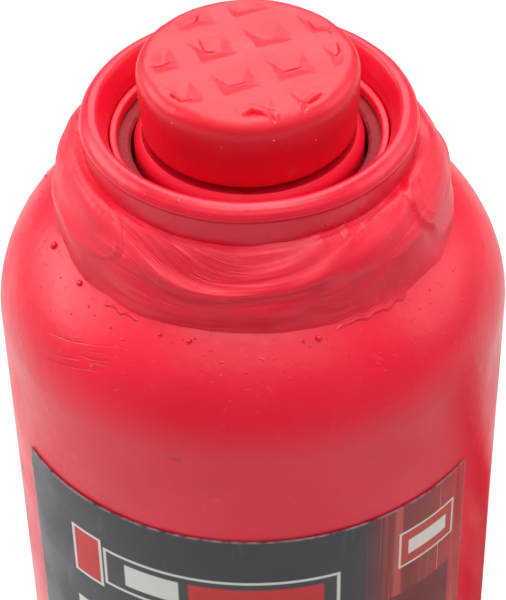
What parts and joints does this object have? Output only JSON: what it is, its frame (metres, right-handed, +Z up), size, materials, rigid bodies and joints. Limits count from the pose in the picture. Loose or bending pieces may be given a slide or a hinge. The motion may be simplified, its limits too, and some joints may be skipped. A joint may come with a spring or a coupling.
{
  "type": "bottle jack",
  "caption": "Red welded hydraulic bottle jack with a waffle-topped extension screw, a hand pump with a handle socket, and a screw release valve.",
  "frame": {"origin": "bottom of the base on the ram's axis", "axes": "+Z up along the ram, +X from the ram towards the pump and the handle socket, -Y towards the label"},
  "size_m": [0.154, 0.078, 0.158],
  "materials": {
    "red_paint": "satin red enamel over welded steel",
    "label_print": "glossy printed film",
    "bright_steel": "ground and oiled",
    "dark_steel": "blackened spring steel",
    "zinc": "zinc plated",
    "copper": "soft annealed copper",
    "black_rubber": "matte moulded rubber",
    "urethane": "cast polyurethane seal"
  },
  "bodies": {
    "base": {"base": "red_paint", "cylinder": "red_paint", "cylinder_base_gasket": "copper", "cylinder_weld_bead": "dark_steel", "reservoir_tank": "red_paint", "neck_weld_bead": "red_paint", "base_weld_bead": "red_paint", "label": "label_print", "top_nut": "red_paint", "ram_seal": "urethane", "ram_wiper": "black_rubber", "top_nut_o_ring": "black_rubber", "top_nut_retaining_ring": "red_paint", "pump_barrel": "zinc", "pump_barrel_gasket": "copper", "pump_seal": "urethane", "pump_wiper": "black_rubber", "outlet_valve_plug": "zinc", "outlet_valve_spring": "bright_steel", "safety_spring": "bright_steel", "safety_adjusting_screw": "dark_steel", "safety_valve_cap": "zinc", "pump_passage_plug": "zinc", "left_passage_plug": "zinc", "right_passage_plug": "zinc"},
    "filler_plug": {"oil_filler_plug": "black_rubber"},
    "ram": {"ram": "red_paint", "piston_cup": "urethane", "piston_washer": "bright_steel", "piston_snap_ring": "dark_steel"},
    "screw_carrier": {"screw_stop_ring": "bright_steel"},
    "extension_screw": {"extension_screw": "red_paint"},
    "plunger": {"pump_plunger": "bright_steel", "plunger_o_ring": "black_rubber", "plunger_backup_ring": "urethane"},
    "handle_socket": {"handle_socket": "red_paint", "plunger_pin": "zinc", "plunger_pin_clip": "dark_steel"},
    "link": {"left_link_plate": "zinc", "right_link_plate": "zinc", "upper_link_pin": "zinc", "upper_link_pin_clip": "dark_steel", "lower_link_pin": "zinc", "lower_link_pin_clip": "dark_steel"},
    "release_carrier": {"release_o_ring": "black_rubber", "release_ball": "bright_steel"},
    "release_valve": {"release_valve_screw": "zinc"},
    "safety_ball": {"safety_ball": "bright_steel"},
    "inlet_ball": {"inlet_check_ball": "bright_steel"},
    "outlet_ball": {"outlet_check_ball": "bright_steel"}
  },
  "joints": [
    {"name": "ram_lift", "type": "slide", "parent": "base", "child": "ram", "axis": [0, 0, 1], "range_m": [0, 0.09]},
    {"name": "screw_rise", "type": "slide", "parent": "ram", "child": "screw_carrier", "axis": [0, 0, 1], "range_m": [0, 0.06]},
    {"name": "screw_turn", "type": "hinge", "parent": "screw_carrier", "child": "extension_screw", "pos_m": [0, 0, 0.15], "axis": [0, 0, 1], "range_deg": [0, 5400]},
    {"name": "plunger_stroke", "type": "slide", "parent": "base", "child": "plunger", "axis": [0, 0, 1], "range_m": [0, 0.01436]},
    {"name": "handle_swing", "type": "hinge", "parent": "plunger", "child": "handle_socket", "pos_m": [0.057, 0, 0.068], "axis": [0, 1, 0], "range_deg": [-50, 0]},
    {"name": "link_swing", "type": "hinge", "parent": "handle_socket", "child": "link", "pos_m": [0.04159, 0, 0.07518], "axis": [0, 1, 0], "range_deg": [0, 50]},
    {"name": "release_travel", "type": "slide", "parent": "base", "child": "release_carrier", "axis": [1, 0, 0], "range_m": [0, 0.00156]},
    {"name": "release_turn", "type": "hinge", "parent": "release_carrier", "child": "release_valve", "pos_m": [0.07, -0.021, 0.012], "axis": [1, 0, 0], "range_deg": [0, 450]},
    {"name": "safety_ball_lift", "type": "slide", "parent": "base", "child": "safety_ball", "axis": [1, 0, 0], "range_m": [0, 0.001], "stiffness_N_per_m": 400, "springref_m": -0.003, "deforming": ["safety_spring"]},
    {"name": "inlet_ball_lift", "type": "slide", "parent": "base", "child": "inlet_ball", "axis": [0, 0, 1], "range_m": [0, 0.001]},
    {"name": "outlet_ball_lift", "type": "slide", "parent": "base", "child": "outlet_ball", "axis": [0, 0, -1], "range_m": [0, 0.001], "stiffness_N_per_m": 100, "springref_m": -0.001, "deforming": ["outlet_valve_spring"]},
    {"name": "filler_plug_pull", "type": "slide", "parent": "base", "child": "filler_plug", "axis": [0, 1, 0], "range_m": [0, 0.012]}
  ],
  "couplings": [
    {"joint": "screw_turn", "follows": "screw_rise", "rad_per_m": 1570.8},
    {"joint": "handle_swing", "follows": "plunger_stroke", "rad_per_m": -60.732},
    {"joint": "link_swing", "follows": "plunger_stroke", "rad_per_m": 60.732},
    {"joint": "release_turn", "follows": "release_travel", "rad_per_m": 5026.5}
  ]
}
